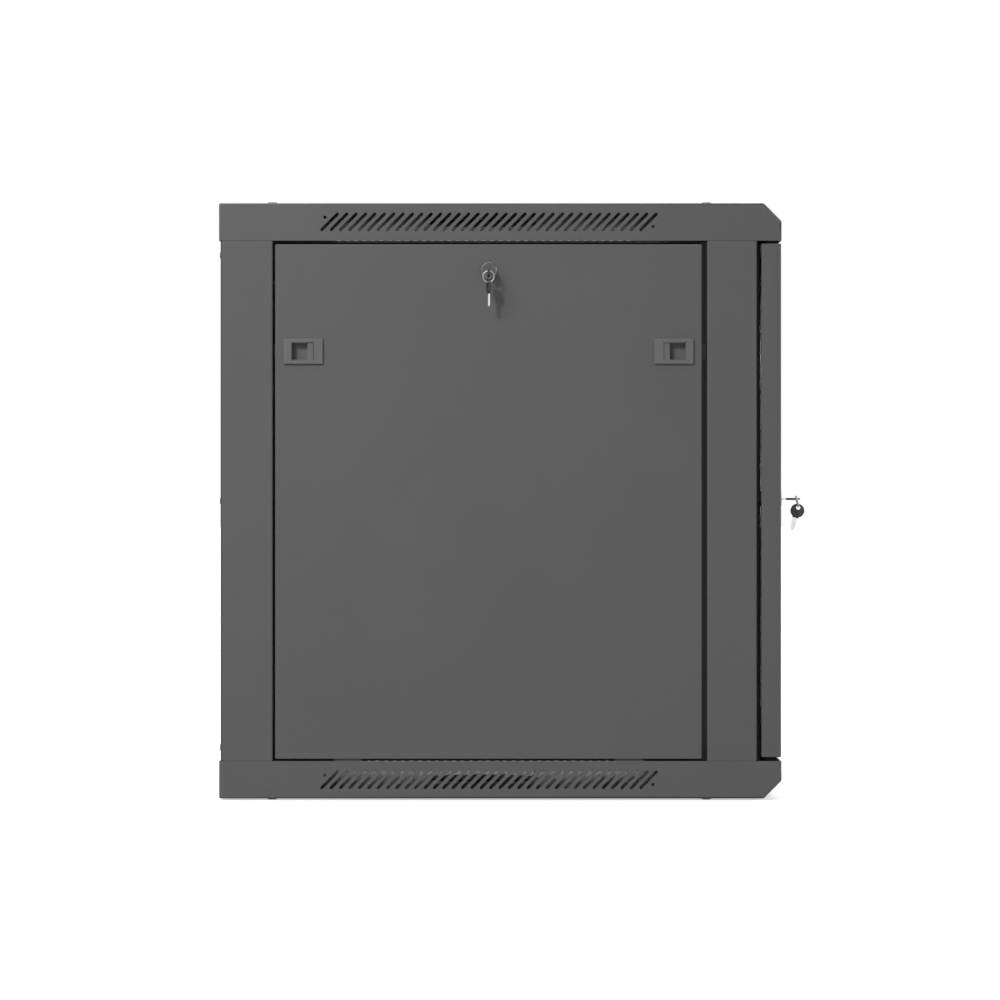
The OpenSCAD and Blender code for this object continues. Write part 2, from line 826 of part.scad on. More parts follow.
// Cam reaching along +Y from the lock axis, fitted on the end of the core
module lock_cam(deep, reach) translate([0, 0, -deep - cam_gap - cam_t]) difference() {
    union() {
        cylinder(r = cam_w / 2, h = cam_t);
        translate([-cam_w / 2, 0, 0]) cube([cam_w, reach, cam_t]);
    }
    translate([0, 0, -past]) cylinder(r = square_r, h = cam_t + 2 * past);
}

// Key with its head centred on the origin, flat in the XZ plane, blade towards -Z
module key_shape(len) difference() {
    union() {
        translate([0, key_head_t / 2, 0]) rotate([90, 0, 0])
            cylinder(r = key_head_d / 2, h = key_head_t);
        translate([-blade_w / 2, -blade_t / 2, -len]) cube([blade_w, blade_t, len]);
    }
    translate([0, 5, key_hole_off]) rotate([90, 0, 0]) cylinder(r = key_hole_r, h = 10);
}

module key_in_lock(rim)
    translate([0, 0, rim + head_ahead]) key_shape(head_ahead + blade_len - 3);

module spare_key() key_shape(blade_len);

// Ring in the XZ plane, hanging from the origin
module ring_shape() translate([0, 0, -ring_r]) rotate([90, 0, 0]) rotate_extrude()
    translate([ring_r, 0]) square([wire_t, wire_w], center = true);

// Lock axis +Z becomes -X, and the blade's width lies along Z
module at_side_lock() translate([-half_w, panel_mid, side_lock_z]) rotate([0, -90, 0]) children();

module side_lock() at_side_lock() lock_body(rim_side, side_deep, -sheet);

module side_core() at_side_lock() lock_core(rim_side, side_deep);

module side_cam() at_side_lock() lock_cam(side_deep, side_cam);

module side_key() at_side_lock() key_in_lock(rim_side);

module side_ring() translate(side_hang) rotate([0, 0, 90]) ring_shape();

module side_spare() translate(side_hook) rotate([0, 0, spare_turn])
    translate([0, 0, -wire_drop - key_hole_off]) spare_key();

module side_lock_left() color(zinc) shifted() side_lock();

module side_lock_right() color(zinc) shifted() right() side_lock();

module side_core_left() color(zinc) shifted() side_core();

module side_core_right() color(zinc) shifted() right() side_core();

module side_cam_left() color(zinc) shifted() side_cam();

module side_cam_right() color(zinc) shifted() right() side_cam();

module side_key_left() color(black) shifted() side_key();

module side_key_right() color(black) shifted() right() side_key();

module side_ring_left() color(zinc) shifted() side_ring();

module side_ring_right() color(zinc) shifted() right() side_ring();

module side_spare_left() color(black) shifted() side_spare();

module side_spare_right() color(black) shifted() right() side_spare();

// ---------- door ----------

// Plan of the door's skin: front, rounded edges, sides and back lips
module door_plan() {
    r = door_edge_r;
    ri = r - sheet;
    w = door_half;
    y0 = door_front;
    polygon(concat(
        [[-w + door_lip, door_back], [-w, door_back]],
        arc(-w + r, y0 + r, r, 180, 270, 6),
        arc(w - r, y0 + r, r, 270, 360, 6),
        [[w, door_back], [w - door_lip, door_back], [w - door_lip, door_back - sheet]],
        [[w - sheet, door_back - sheet]],
        arc(w - r, y0 + r, ri, 360, 270, 6),
        arc(-w + r, y0 + r, ri, 270, 180, 6),
        [[-w + sheet, door_back - sheet], [-w + door_lip, door_back - sheet]]
    ));
}

module door_frame() color(steel) shifted() difference() {
    inner = door_half - sheet / 2;
    union() {
        translate([0, 0, door_low]) linear_extrude(door_high - door_low) door_plan();
        for (z = [door_low, door_high - sheet])
            plate([-inner, door_front + sheet / 2, z], [inner, door_back, z + sheet]);
        for (z = [door_low, door_high - door_lip])
            plate([-inner, door_back - sheet, z], [inner, door_back, z + door_lip]);
    }
    plate([-pane_half, door_front - past, pane_low], [pane_half, door_front + 5, pane_high]);
    rod_z([pin_x, pin_y, door_low - past], sheet + 2 * past, pin_r);
    rod_z([pin_x, pin_y, door_high - sheet - past], sheet + 2 * past, pin_r);
    hole_y([lock_x, door_front, lock_z], barrel_r + hole_play);
}

module frame_ring(grow, hole, y0, y1) difference() {
    plate([-pane_half - grow, y0, pane_low - grow], [pane_half + grow, y1, pane_high + grow]);
    plate([-pane_half - hole, y0 - past, pane_low - hole],
        [pane_half + hole, y1 + past, pane_high + hole]);
}

module glass_seal() color(black) shifted()
    frame_ring(glass_lap, 1, door_front + sheet, glass_front);

module door_glass() color(tint, 0.4) shifted()
    plate([-pane_half - glass_lap, glass_front, pane_low - glass_lap],
        [pane_half + glass_lap, glass_back, pane_high + glass_lap]);

// A clip stands beside the glass and reaches over it, here towards +X
module glass_clip() {
    skin = door_front + sheet;
    difference() {
        union() {
            plate([-clip_out, skin, -clip_half], [-0.5, glass_back + clip_t, clip_half]);
            plate([-clip_out, glass_back, -clip_half], [clip_in, glass_back + clip_t, clip_half]);
        }
        rod_y([-clip_screw, skin - past, 0], 20, m4_hole_r);
    }
}

module clip_screw() {
    skin = door_front + sheet;
    rod_y([-clip_screw, glass_back + clip_t, 0], m4_head_h, m4_head_r);
    rod_y([-clip_screw, skin, 0], glass_back + clip_t + bond - skin, m4_r - thread_play);
}

module clip_places() {
    edge = pane_half + glass_lap;
    for (s = [0, 1], z = [pane_low + clip_inset, mid_z, pane_high - clip_inset])
        mirror([s, 0, 0])
        translate([-edge, 0, s == 0 && z == mid_z ? z + clip_shift : z]) children();
    for (x = [-clip_x, clip_x]) {
        translate([x, 0, pane_low - glass_lap]) rotate([0, -90, 0]) children();
        translate([x, 0, pane_high + glass_lap]) rotate([0, 90, 0]) children();
    }
}

module glass_clips() color(zinc) shifted() clip_places() glass_clip();

module clip_screws() color(zinc) shifted() clip_places() clip_screw();

// Hinge pin with its collar between a bracket and the door's edge
module hinge_pin(pin_z, collar_z, collar_len) {
    rod_z([pin_x, pin_y, pin_z], pin_len, pin_r);
    rod_z([pin_x, pin_y, collar_z], collar_len, pin_collar_r);
}

module hinge_pins() color(zinc) shifted() {
    upper_gap = body_high + 1 - door_high;
    lower_gap = door_low - body_low + 1;
    hinge_pin(body_high + 1 + pin_below - pin_len, door_high, upper_gap - pin_play);
    hinge_pin(body_low - 1 - pin_below, door_low - lower_gap + pin_play, lower_gap - pin_play);
}

// Lock axis +Z becomes -Y, and the blade's width lies along X
module at_door_lock() translate([lock_x, door_front, lock_z]) rotate([90, 0, 0]) children();

module door_lock() color(zinc) shifted() at_door_lock() lock_body(rim_door, door_deep, -sheet);

module door_core() color(zinc) shifted() at_door_lock() lock_core(rim_door, door_deep);

module door_cam() color(zinc) shifted() at_door_lock() lock_cam(door_deep, door_cam);

module door_key() color(black) shifted() at_door_lock() key_in_lock(rim_door);

// The ring stands beside the key head's edge and hangs a little forward
module door_ring() color(zinc) shifted() translate(door_hang) rotate([-ring_tilt, 0, 0])
    translate([-ring_reach, 0, ring_r - ring_rise]) ring_shape();

module door_spare() color(black) shifted() translate(door_hook) rotate([spare_tilt, 0, 0])
    translate([0, 0, -wire_drop - key_hole_off]) rotate([0, 0, 90]) spare_key();

top_cover();
bottom_cover();
cover_screws();
front_post_left();
front_post_right();
rear_post_left();
rear_post_right();
rear_panel();
wall_rails();
rear_panel_screws();
depth_rail_upper_left();
depth_rail_upper_right();
depth_rail_lower_left();
depth_rail_lower_right();
depth_rail_screws();
front_rail_left();
front_rail_right();
rear_rail_left();
rear_rail_right();
rail_bolts();
cage_nuts();
cable_plate_top();
cable_plate_bottom();
cable_plate_nuts();
hinge_bracket_upper();
hinge_bracket_lower();
door_strike();
bracket_screws();
side_panel_left();
latch_bezels_left();
latch_left_front();
latch_left_rear();
side_lock_left();
side_core_left();
side_cam_left();
side_key_left();
side_ring_left();
side_spare_left();
side_panel_right();
latch_bezels_right();
latch_right_front();
latch_right_rear();
side_lock_right();
side_core_right();
side_cam_right();
side_key_right();
side_ring_right();
side_spare_right();
door_frame();
door_glass();
glass_seal();
glass_clips();
clip_screws();
hinge_pins();
door_lock();
door_core();
door_cam();
door_key();
door_ring();
door_spare();
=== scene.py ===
"""Looks of the wall-mount network cabinet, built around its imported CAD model."""
import json
import math

import bmesh
import bpy
from mathutils import Matrix, Vector
from mathutils.bvhtree import BVHTree


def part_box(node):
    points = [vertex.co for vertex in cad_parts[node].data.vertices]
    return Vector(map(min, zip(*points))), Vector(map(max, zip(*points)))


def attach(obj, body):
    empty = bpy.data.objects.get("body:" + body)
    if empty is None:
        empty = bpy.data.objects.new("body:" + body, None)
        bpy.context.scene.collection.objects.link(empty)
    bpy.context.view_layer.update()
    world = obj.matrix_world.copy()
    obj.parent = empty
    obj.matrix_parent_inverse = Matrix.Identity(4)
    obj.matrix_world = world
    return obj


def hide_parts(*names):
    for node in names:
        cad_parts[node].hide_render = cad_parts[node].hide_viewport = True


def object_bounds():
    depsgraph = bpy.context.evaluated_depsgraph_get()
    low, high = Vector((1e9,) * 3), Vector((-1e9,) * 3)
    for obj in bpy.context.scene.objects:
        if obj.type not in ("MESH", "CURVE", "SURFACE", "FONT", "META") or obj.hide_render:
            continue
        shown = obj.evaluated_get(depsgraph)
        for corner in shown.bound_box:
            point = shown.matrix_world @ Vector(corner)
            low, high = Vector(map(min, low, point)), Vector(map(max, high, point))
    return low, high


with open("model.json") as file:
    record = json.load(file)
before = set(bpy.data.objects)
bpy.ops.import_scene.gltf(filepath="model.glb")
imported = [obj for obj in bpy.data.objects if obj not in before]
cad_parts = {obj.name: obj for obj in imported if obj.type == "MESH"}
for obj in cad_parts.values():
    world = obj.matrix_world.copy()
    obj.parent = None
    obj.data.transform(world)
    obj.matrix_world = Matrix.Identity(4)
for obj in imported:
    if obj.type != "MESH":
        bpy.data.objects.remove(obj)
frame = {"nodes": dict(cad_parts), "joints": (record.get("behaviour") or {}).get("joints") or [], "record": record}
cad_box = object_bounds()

MM = 0.001
SIDES = (("left", -1), ("right", 1))
JOINTS = {j["name"]: j for j in frame["joints"]}
BODY_OF = {n: b for b, nodes in frame["record"]["behaviour"]["bodies"].items() for n in nodes}

# Shapes that part.scad sets and that no box gives directly
SHEET = 1.2 * MM
RING_R = 6.0 * MM
HEAD_BELOW_HOOK = 4.4 * MM
KEY_HOLE_R = 2.3 * MM
KEY_HOLE_OFF = 3.4 * MM
KEY_HEAD_R = 7.5 * MM
KEY_HEAD_T = 2.2 * MM
BLADE_W = 5.5 * MM
BLADE_T = 2.0 * MM
COVER_HEAD_H = 2 * MM
REAR_HEAD_H = 1.5 * MM
SPARE_TURN = math.radians(12)
SPARE_TILT = math.radians(17)
RING_TILT = math.radians(15)

# Lengths of the keys' blades from the middle of the head to the tip
KEY_LENGTH = 23.5 * MM
SPARE_LENGTH = 22 * MM


# ---------- materials ----------

class Nodes:
    """Short names for building one material's node tree."""

    def __init__(self, name):
        self.material = bpy.data.materials.new(name)
        self.material.use_nodes = True
        self.tree = self.material.node_tree
        self.shader = self.tree.nodes["Principled BSDF"]
        self.place = self.add("ShaderNodeTexCoord").outputs["Object"]

    def add(self, kind, **settings):
        node = self.tree.nodes.new(kind)
        for key, value in settings.items():
            setattr(node, key, value)
        return node

    def link(self, a, b):
        self.tree.links.new(a, b)

    def set(self, **values):
        for key, value in values.items():
            self.shader.inputs[key.replace("_", " ")].default_value = value

    def stretched(self, scale):
        mapping = self.add("ShaderNodeMapping")
        mapping.inputs["Scale"].default_value = scale
        self.link(self.place, mapping.inputs["Vector"])
        return mapping.outputs["Vector"]

    def noise(self, scale, detail=3.0, rough=0.55, place=None):
        node = self.add("ShaderNodeTexNoise")
        node.inputs["Scale"].default_value = scale
        node.inputs["Detail"].default_value = detail
        node.inputs["Roughness"].default_value = rough
        self.link(place or self.place, node.inputs["Vector"])
        return node.outputs["Fac"]

    def spread(self, value, low, high, start=0.3, end=0.7):
        node = self.add("ShaderNodeMapRange")
        node.inputs["From Min"].default_value = start
        node.inputs["From Max"].default_value = end
        node.inputs["To Min"].default_value = low
        node.inputs["To Max"].default_value = high
        self.link(value, node.inputs["Value"])
        return node.outputs["Result"]

    def colours(self, value, stops):
        node = self.add("ShaderNodeValToRGB")
        ramp = node.color_ramp
        while len(ramp.elements) < len(stops):
            ramp.elements.new(0.5)
        for element, (position, colour) in zip(ramp.elements, stops):
            element.position = position
            element.color = (*colour, 1)
        self.link(value, node.inputs["Fac"])
        self.link(node.outputs["Color"], self.shader.inputs["Base Color"])

    def rough(self, value, low, high):
        self.link(self.spread(value, low, high), self.shader.inputs["Roughness"])

    def bump(self, layers):
        """Stacks (height, depth in metres) layers onto the surface."""
        normal = None
        for height, depth in layers:
            node = self.add("ShaderNodeBump")
            node.inputs["Strength"].default_value = 1.0
            node.inputs["Distance"].default_value = depth
            self.link(height, node.inputs["Height"])
            if normal:
                self.link(normal, node.inputs["Normal"])
            normal = node.outputs["Normal"]
        self.link(normal, self.shader.inputs["Normal"])


def grey(value):
    return (value, value, value)


def powder_coat(name, level):
    """Fine-texture powder coat: a grain under a millimetre over a slow orange peel."""
    m = Nodes(name)
    grain = m.noise(1500, 2)
    peel = m.noise(260, 2)
    cloud = m.noise(7, 4, 0.6)
    m.colours(cloud, [(0.3, grey(level * 0.965)), (0.7, grey(level * 1.035))])
    m.rough(grain, 0.46, 0.58)
    m.bump([(peel, 0.05 * MM), (grain, 0.035 * MM)])
    m.set(Specular_IOR_Level=0.4)
    return m.material


def moulded_plastic(name, level, rough, grain_depth):
    m = Nodes(name)
    spark = m.noise(1900, 2)
    flow = m.noise(60, 3)
    m.colours(flow, [(0.3, grey(level * 0.95)), (0.7, grey(level * 1.05))])
    m.rough(flow, rough - 0.05, rough + 0.06)
    m.bump([(spark, grain_depth)])
    m.set(Specular_IOR_Level=0.45)
    return m.material


def plated(name, colour, low, high, stretch=(1, 1, 1)):
    """Plated or brushed metal with rubbed patches and fine drawing marks."""
    m = Nodes(name)
    patches = m.noise(90, 4)
    marks = m.noise(700, 3, place=m.stretched(stretch))
    darker = tuple(c * 0.86 for c in colour)
    m.colours(patches, [(0.32, darker), (0.68, colour)])
    m.rough(marks, low, high)
    m.bump([(marks, 0.006 * MM)])
    m.set(Metallic=1.0)
    return m.material


def foam_rubber(name):
    m = Nodes(name)
    cells = m.add("ShaderNodeTexVoronoi")
    cells.inputs["Scale"].default_value = 1400
    m.link(m.place, cells.inputs["Vector"])
    m.colours(m.noise(300, 4), [(0.3, grey(0.012)), (0.7, grey(0.022))])
    m.rough(m.noise(500), 0.85, 0.95)
    m.bump([(cells.outputs["Distance"], 0.12 * MM)])
    return m.material


def safety_glass(name):
    """Dark smoked glass: see-through from the front, opaque and mirror-like at a low angle."""
    m = Nodes(name)
    smear = m.noise(9, 5, 0.65)
    m.colours(smear, [(0.3, (0.030, 0.036, 0.036)), (0.7, (0.038, 0.044, 0.044))])
    m.rough(smear, 0.015, 0.04)
    slant = m.add("ShaderNodeLayerWeight")
    slant.inputs["Blend"].default_value = 0.5
    m.link(m.spread(slant.outputs["Facing"], 0.26, 1.0, 0.3, 0.93), m.shader.inputs["Alpha"])
    m.set(Specular_IOR_Level=0.9, IOR=1.5)
    return m.material


LOOKS = {
    "powder_coat": powder_coat("powder_coat", 0.062),
    "rail_paint": powder_coat("rail_paint", 0.08),
    "latch_plastic": moulded_plastic("latch_plastic", 0.080, 0.5, 0.03 * MM),
    "key_black": moulded_plastic("key_black", 0.012, 0.42, 0.02 * MM),
    "zinc_plate": plated("zinc_plate", (0.36, 0.37, 0.38), 0.32, 0.46),
    "screw_steel": plated("screw_steel", (0.075, 0.075, 0.08), 0.42, 0.56),
    "lock_chrome": plated("lock_chrome", (0.12, 0.12, 0.125), 0.22, 0.36),
    "seal_rubber": foam_rubber("seal_rubber"),
    "safety_glass": safety_glass("safety_glass"),
}
BLADE_LOOK = plated("key_blade", (0.70, 0.69, 0.66), 0.2, 0.34, (1, 1, 0.12))
SLOT_OF = {s["node"]: s["material_slot"] for s in frame["record"]["subparts"]}


# ---------- mesh helpers ----------

# A guard line lies this many bevel widths from its edge
GUARD = 1.3
CORNER_ANGLE = math.radians(32)

def link_object(name, data):
    made = bpy.data.objects.new(name, data)
    bpy.context.scene.collection.objects.link(made)
    return made


def mesh_piece(name, bm, materials, smooth_deg=35):
    mesh = bpy.data.meshes.new(name)
    bm.normal_update()
    bm.to_mesh(mesh)
    bm.free()
    for polygon in mesh.polygons:
        polygon.use_smooth = True
    mesh.set_sharp_from_angle(angle=math.radians(smooth_deg))
    for material in materials:
        mesh.materials.append(material)
    return link_object(name, mesh)


def welded(node):
    """The CAD node's shape with shared corners and without its stored normals."""
    source = frame["nodes"][node].data
    bm = bmesh.new()
    verts = [bm.verts.new(v.co) for v in source.vertices]
    for polygon in source.polygons:
        corners = [verts[i] for i in polygon.vertices]
        if bm.faces.get(corners) is None:
            bm.faces.new(corners)
    bmesh.ops.remove_doubles(bm, verts=bm.verts, dist=2e-6)
    bmesh.ops.recalc_face_normals(bm, faces=bm.faces)
    return bm


def is_corner(edge):
    """Whether an edge sticks out at more than the least angle of a corner."""
    return len(edge.link_faces) == 2 and edge.is_convex and edge.calc_face_angle(0) > CORNER_ANGLE


def into_face(edge, face):
    """Unit vector in the face, square to the edge and away from it."""
    middle = (edge.verts[0].co + edge.verts[1].co) / 2
    along = (edge.verts[1].co - edge.verts[0].co).normalized()
    inward = face.normal.cross(along).normalized()
    return inward if (face.calc_center_median() - middle).dot(inward) > 0 else -inward


def is_fold(edge, tree, box, reach):
    """Whether an edge is a bend of the outer shape: wide faces meet at it, not a cut through the sheet."""
    a, b = (v.co for v in edge.verts)
    slack = 0.02 * MM
    outer = any(abs(a[i] - bound[i]) < slack and abs(b[i] - bound[i]) < slack
                for bound in box for i in range(3))
    if not outer:
        return False
    for face in edge.link_faces:
        point = (a + b) / 2 + into_face(edge, face) * reach
        found, normal, _, distance = tree.find_nearest(point)
        if found is None or distance > slack or normal.dot(face.normal) < 0.99:
            return False
    return True


def add_guards(bm, edges, reach):
    """Cuts a line beside each bevelled edge, so that the bevel stays within its own strip."""
    cuts = {}
    for edge in edges:
        for face in edge.link_faces:
            inward = into_face(edge, face)
            point = edge.verts[0].co + inward * reach
            flat = tuple(round(v, 3) for v in face.normal) + (round(face.normal.dot(edge.verts[0].co), 5),)
            line = tuple(round(v, 3) for v in inward) + (round(inward.dot(point), 5),)
            cuts[flat, line] = (face.normal.copy(), face.normal.dot(edge.verts[0].co), point, inward)
    level_slack = 0.01 * MM
    for normal, level, point, inward in cuts.values():
        group = [f for f in bm.faces if f.normal.dot(normal) > 0.9999
                 and abs(normal.dot(f.verts[0].co) - level) < level_slack]
        geom = list({e for f in group for e in f.edges}) + list({v for f in group for v in f.verts}) + group
        made = bmesh.ops.bisect_plane(bm, geom=geom, dist=1e-6, plane_co=point, plane_no=inward)["geom_cut"]
        for item in made:
            if isinstance(item, bmesh.types.BMEdge):
                item.seam = True


def refine(node, fold=0.0, rim=0.0, segments=3):
    """Stands for a CAD node, with bends of radius fold and other corners broken by rim."""
    bm = welded(node)
    bm.normal_update()
    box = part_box(node)
    widest = max(fold, rim)
    layer = bm.edges.layers.float.new("bevel_weight_edge")
    corners = [e for e in bm.edges if is_corner(e)]
    if fold:
        tree = BVHTree.FromBMesh(bm)
        folds = [e for e in corners if is_fold(e, tree, box, GUARD * fold)]
        for edge in corners:
            edge[layer] = rim / widest
        for edge in folds:
            edge[layer] = 1.0
        add_guards(bm, folds, GUARD * widest)
    else:
        for edge in corners:
            edge[layer] = 1.0
    bmesh.ops.dissolve_limit(bm, angle_limit=math.radians(0.6), verts=bm.verts, edges=bm.edges,
                             delimit={"SEAM"})
    for edge in bm.edges:
        edge.seam = False
    piece = mesh_piece(f"{node}_piece", bm, [LOOKS[SLOT_OF[node]]])
    bevel = piece.modifiers.new("broken edges", "BEVEL")
    bevel.limit_method = "WEIGHT"
    bevel.width = widest
    bevel.segments = segments
    bevel.use_clamp_overlap = not fold
    bevel.harden_normals = True
    bevel.miter_outer = "MITER_ARC"
    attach(piece, BODY_OF[node])
    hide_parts(node)
    return piece


def loose_boxes(node):
    """(lowest, highest) corner of every separate solid of a CAD node."""
    bm = welded(node)
    waiting = set(bm.verts)
    boxes = []
    while waiting:
        group, queue = set(), [waiting.pop()]
        while queue:
            vert = queue.pop()
            group.add(vert)
            for edge in vert.link_edges:
                other = edge.other_vert(vert)
                if other in waiting:
                    waiting.remove(other)
                    queue.append(other)
        low = Vector(min(v.co[i] for v in group) for i in range(3))
        high = Vector(max(v.co[i] for v in group) for i in range(3))
        boxes.append((low, high))
    bm.free()
    return sorted(boxes, key=lambda b: tuple(round(c, 5) for c in b[0]))


def lathe(bm, profile, steps=40):
    """Turns (radius, height) points about the Z axis into a surface; radius 0 closes it."""
    rows = []
    for radius, height in profile:
        if radius < 1e-7:
            rows.append([bm.verts.new((0, 0, height))])
            continue
        turn = [2 * math.pi * k / steps for k in range(steps)]
        rows.append([bm.verts.new((radius * math.cos(a), radius * math.sin(a), height)) for a in turn])
    for low, high in zip(rows, rows[1:]):
        for k in range(steps):
            n = (k + 1) % steps
            corners = [low[k % len(low)], low[n % len(low)], high[n % len(high)], high[k % len(high)]]
            unique = list(dict.fromkeys(corners))
            if len(unique) > 2:
                bm.faces.new(unique)


def slab(bm, outline, low, high):
    """Closed solid from a plan outline between two heights; returns its vertices."""
    bottom = [bm.verts.new((x, y, low)) for x, y in outline]
    top = [bm.verts.new((x, y, high)) for x, y in outline]
    bm.faces.new(bottom[::-1])
    bm.faces.new(top)
    count = len(outline)
    for k in range(count):
        n = (k + 1) % count
        bm.faces.new([bottom[k], bottom[n], top[n], top[k]])
    return bottom + top


def subtract(piece, cutter):
    """Cuts cutter out of piece for good and removes the cutter."""
    cut = piece.modifiers.new("cut", "BOOLEAN")
    cut.object = cutter
    cut.solver = "EXACT"
    bpy.context.view_layer.update()
    graph = bpy.context.evaluated_depsgraph_get()
    mesh = bpy.data.meshes.new_from_object(piece.evaluated_get(graph))
    piece.modifiers.clear()
    piece.data = mesh
    bpy.data.objects.remove(cutter)


# ---------- screws ----------

def screw_master(head_r, head_h, shaft_r, length, recess):
    """Pan head above Z = 0 with a cross recess, shaft below."""
    bm = bmesh.new()
    dome = [(head_r * (1 - 0.35 * (1 - math.cos(a))), head_h * (0.6 + 0.4 * math.sin(a)))
            for a in [math.radians(d) for d in range(0, 90, 15)]]
    groove = 0.5 * MM
    thread = []
    z = -1.2 * MM
    while z > -length + groove * 2:
        thread += [(shaft_r, z), (shaft_r * 0.86, z - groove / 2), (shaft_r, z - groove)]
        z -= groove
    profile = [(0, -length), (shaft_r * 0.8, -length), *reversed(thread), (shaft_r, 0), (head_r * 0.96, 0),
               (head_r, 0.12 * head_h), *dome, (0, head_h)]
    lathe(bm, profile, 32)
    master = mesh_piece("screw_master", bm, [])
    arm, wide = head_r * 0.55, recess
    bm = bmesh.new()
    cross = [(arm, wide), (wide, wide), (wide, arm), (-wide, arm), (-wide, wide), (-arm, wide),
             (-arm, -wide), (-wide, -wide), (-wide, -arm), (wide, -arm), (wide, -wide), (arm, -wide)]
    slab(bm, cross, head_h * 0.3, head_h * 2)
    subtract(master, mesh_piece("cross", bm, []))
    return master


def screws(node, head_r, head_h, shaft_r, length, outward, recess):
    """Stands for a node of plain screws; outward(low, high) gives the head's seat and direction."""
    master = screw_master(head_r, head_h, shaft_r, length, recess)
    bm = bmesh.new()
    for low, high in loose_boxes(node):
        seat, direction = outward(low, high)
        part = master.data.copy()
        turn = direction.to_track_quat("Z", "Y").to_matrix().to_4x4()
        # Each cross recess stops at its own angle
        stop = Matrix.Rotation(seat.x * 40 + seat.z * 23, 4, "Z")
        part.transform(Matrix.Translation(seat) @ turn @ stop)
        bm.from_mesh(part)
        bpy.data.meshes.remove(part)
    bpy.data.objects.remove(master)
    piece = mesh_piece(f"{node}_piece", bm, [LOOKS[SLOT_OF[node]]])
    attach(piece, BODY_OF[node])
    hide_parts(node)


def along_z(low, high):
    """Seat and direction of a cover screw: the head is at the far end from the middle height."""
    middle = (low + high) / 2
    up = 1 if middle.z > (cad_box[0].z + cad_box[1].z) / 2 else -1
    z = high.z - COVER_HEAD_H if up > 0 else low.z + COVER_HEAD_H
    return Vector((middle.x, middle.y, z)), Vector((0, 0, up))


def to_rear(low, high):
    middle = (low + high) / 2
    return Vector((middle.x, high.y - REAR_HEAD_H, middle.z)), Vector((0, 1, 0))


# ---------- keys, rings ----------

def key_outline():
    """Plan of a key blade pointing to -Y, with the bitting along one edge."""
    half = BLADE_W / 2
    tip = -KEY_LENGTH
    start = -KEY_HEAD_R - 5.5 * MM
    depths = [0.2, 0.9, 0.5, 1.3, 0.4, 1.0]
    flat = 0.22
    step = (tip + 2.2 * MM - start) / len(depths)
    points = [(-half, 0), (-half, tip + 1.6 * MM), (-half * 0.3, tip), (half * 0.35, tip + 0.2 * MM)]
    for k, depth in reversed(list(enumerate(depths))):
        y = start + step * (k + 0.5)
        x = half - depth * MM
        points += [(x, y + step * flat), (x, y - step * flat)]
    return points + [(half, start), (half, 0)]


def key_piece(node, place, reach):
    """Moulded head with its hole near the top and a nickel blade of the given reach, flat in XZ."""
    body = BODY_OF[node]
    bm = bmesh.new()
    r, t = KEY_HEAD_R, KEY_HEAD_T / 2
    dish = [(0, t * 0.8), (r * 0.55, t * 0.8), (r * 0.62, t)]
    edge = [(r - 0.5 * MM, t), (r - 0.12 * MM, t * 0.7), (r, 0)]
    upper = dish + edge
    lower = [(radius, -height) for radius, height in upper[:-1]]
    lathe(bm, lower + upper[::-1], 56)
    head = mesh_piece("head", bm, [LOOKS["key_black"]])
    bm = bmesh.new()
    past = 3 * MM
    lathe(bm, [(0, -past), (KEY_HOLE_R, -past), (KEY_HOLE_R, past), (0, past)], 40)
    bmesh.ops.translate(bm, verts=bm.verts, vec=(0, KEY_HOLE_OFF, 0))
    subtract(head, mesh_piece("hole", bm, []))
    stretch = reach / KEY_LENGTH
    bm = bmesh.new()
    bm.from_mesh(head.data)
    bpy.data.objects.remove(head)
    neck = [(-3.6 * MM, -r + 2.2 * MM), (-3.2 * MM, -r - 0.4 * MM), (3.2 * MM, -r - 0.4 * MM),
            (3.6 * MM, -r + 2.2 * MM)]
    slab(bm, neck, -t * 0.93, t * 0.93)
    first_blade_face = len(bm.faces)
    outline = [(x, (y * stretch) if y < -r else y - r + 1.4 * MM) for x, y in key_outline()]
    slab(bm, outline, -BLADE_T / 2, BLADE_T / 2)
    bm.faces.ensure_lookup_table()
    for face in bm.faces[first_blade_face:]:
        face.material_index = 1
    bmesh.ops.rotate(bm, verts=bm.verts, matrix=Matrix.Rotation(math.pi / 2, 3, "X"))
    bm.transform(place)
    piece = mesh_piece(f"{node}_piece", bm, [LOOKS["key_black"], BLADE_LOOK], 30)
    bevel = piece.modifiers.new("edges", "BEVEL")
    bevel.width = 0.12 * MM
    bevel.segments = 2
    bevel.limit_method = "ANGLE"
    bevel.angle_limit = math.radians(50)
    bevel.use_clamp_overlap = True
    bevel.harden_normals = True
    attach(piece, body)
    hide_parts(node)


def split_ring(node, place):
    """Two close turns of round wire, with the ends lapped as on a real split ring."""
    turns, per_turn, wire_r, first_angle = 2, 40, 0.48 * MM, 0.9
    name = f"{node}_piece"
    body = BODY_OF[node]
    curve = bpy.data.curves.new(name, "CURVE")
    curve.dimensions = "3D"
    curve.bevel_depth = wire_r
    curve.bevel_resolution = 4
    curve.use_fill_caps = True
    count = turns * per_turn - 2
    spline = curve.splines.new("POLY")
    spline.points.add(count - 1)
    for k in range(count):
        a = 2 * math.pi * k / per_turn + first_angle
        lap = (k / (count - 1) - 0.5) * 2
        rise = max(-1.0, min(1.0, lap * 6)) * wire_r * 1.02
        p = place @ Vector((RING_R * math.cos(a), rise, RING_R * math.sin(a)))
        spline.points[k].co = (*p, 1)
    curve.materials.append(LOOKS["zinc_plate"])
    ring = link_object(name, curve)
    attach(ring, body)
    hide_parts(node)


def joint_at(name):
    return Vector(JOINTS[name]["pos_m"])


